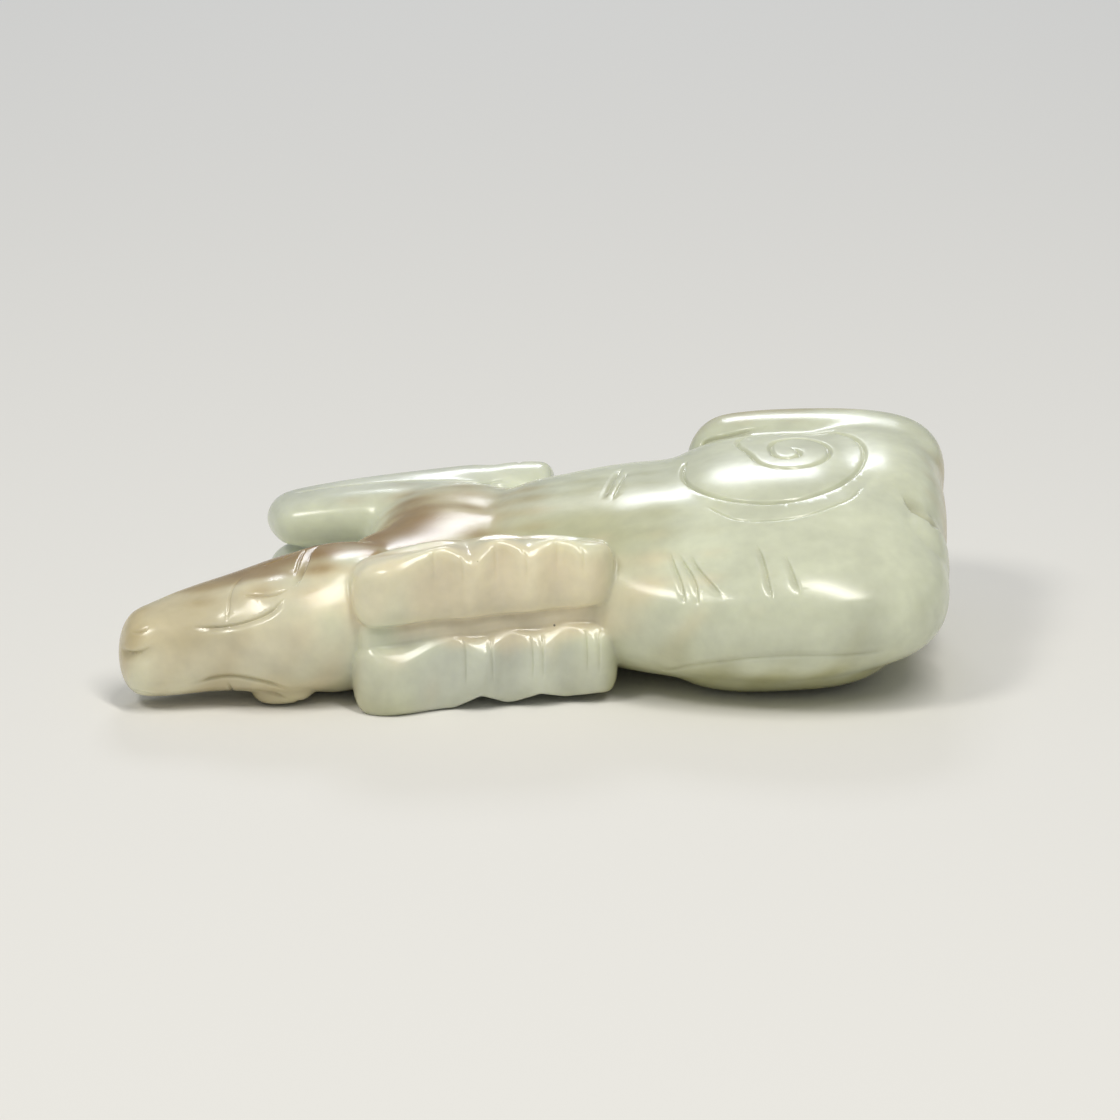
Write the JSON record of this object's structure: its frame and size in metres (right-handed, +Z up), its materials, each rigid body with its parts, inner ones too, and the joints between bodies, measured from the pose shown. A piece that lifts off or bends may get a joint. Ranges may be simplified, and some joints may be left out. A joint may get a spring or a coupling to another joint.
{
  "type": "jade deer carving",
  "caption": "Small polished pale green jade carving of a recumbent deer with folded legs and scalloped antlers laid back along its neck, lying on its flank.",
  "frame": {"origin": "on the table, under the middle of the carving's box", "axes": "+X from the nose towards the rump, +Y from the back towards the folded legs, +Z up from the table on which the carving lies on its left flank"},
  "size_m": [0.0604, 0.0322, 0.015],
  "materials": {
    "jade": "polished pale green nephrite with tan tints"
  },
  "bodies": {
    "root": {"jade_deer": "jade"}
  },
  "joints": []
}
